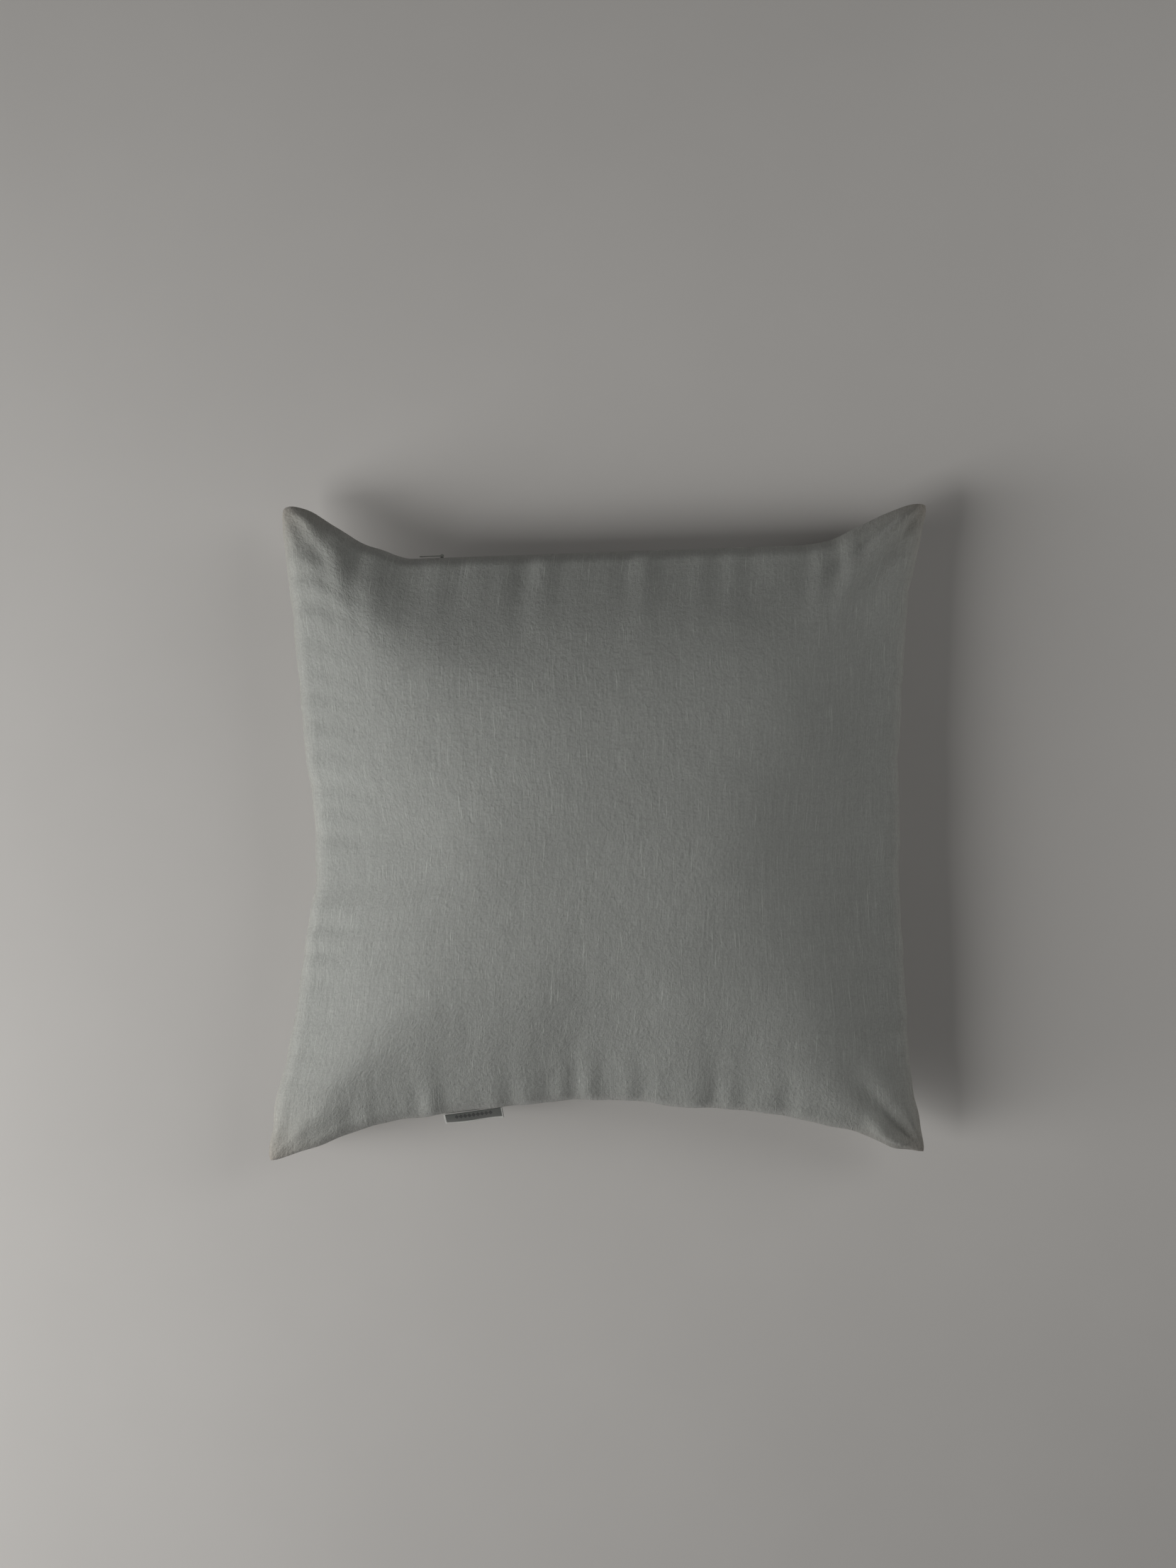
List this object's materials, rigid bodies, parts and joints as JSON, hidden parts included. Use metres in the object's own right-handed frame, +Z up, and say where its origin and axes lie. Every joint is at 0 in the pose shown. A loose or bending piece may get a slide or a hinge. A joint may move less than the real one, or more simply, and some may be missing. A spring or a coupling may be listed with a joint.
{
  "type": "floor cushion",
  "caption": "Square floor cushion: knife-edge linen-look cover with a concealed zip and a folded side label, over a separate filled inner pad.",
  "frame": {"origin": "centre of the footprint of the whole cushion, on the surface that it rests on", "axes": "+Z up from the resting surface through the crown, +Y towards the zipped edge, +X to the right along the zip"},
  "size_m": [0.654, 0.654, 0.18],
  "materials": {
    "cover_linen": "matt slubby linen-look weave",
    "casing_cotton": "matt plain-weave cotton",
    "fibre": "matt loose fibre",
    "sewing_thread": "slightly glossy spun thread",
    "zip_tape": "matt knitted tape",
    "zip_filament": "satin nylon filament",
    "zip_metal": "satin enamel",
    "label_satin": "woven satin ribbon",
    "care_ribbon": "thin satin ribbon"
  },
  "bodies": {
    "cushion": {"cover_top_panel": "cover_linen", "cover_bottom_panel": "cover_linen", "cover_seam_thread": "sewing_thread", "overlock_thread_top": "sewing_thread", "overlock_thread_bottom": "sewing_thread", "inner_casing_top": "casing_cotton", "inner_casing_bottom": "casing_cotton", "inner_seam_thread": "sewing_thread", "fibre_filling": "fibre", "zip_tape_upper": "zip_tape", "zip_tape_lower": "zip_tape", "zip_coil_upper": "zip_filament", "zip_coil_lower": "zip_filament", "zip_top_stop_upper": "zip_filament", "zip_top_stop_lower": "zip_filament", "zip_bottom_stop": "zip_filament", "zip_stitching_upper": "sewing_thread", "zip_stitching_lower": "sewing_thread", "bar_tack_left": "sewing_thread", "bar_tack_right": "sewing_thread", "side_label_sewn_end": "label_satin", "care_label": "care_ribbon"},
    "slider": {"zip_slider": "zip_metal"},
    "pull": {"zip_pull_tab": "zip_metal"},
    "label": {"side_label": "label_satin"}
  },
  "joints": [
    {"name": "zip_slide", "type": "slide", "parent": "cushion", "child": "slider", "axis": [0.9994, 0.0349, 0], "range_m": [0, 0.32], "deforming": ["zip_coil_upper", "zip_coil_lower"]},
    {"name": "pull_swing", "type": "hinge", "parent": "slider", "child": "pull", "pos_m": [-0.15349, 0.27274, 0.074], "axis": [0, 0, -1], "range_deg": [0, 180]},
    {"name": "label_flap", "type": "hinge", "parent": "cushion", "child": "label", "pos_m": [-0.12313, -0.27348, 0.074], "axis": [-0.9908, -0.1356, 0], "range_deg": [-35, 130], "stiffness_Nm_per_rad": 0.0005}
  ]
}
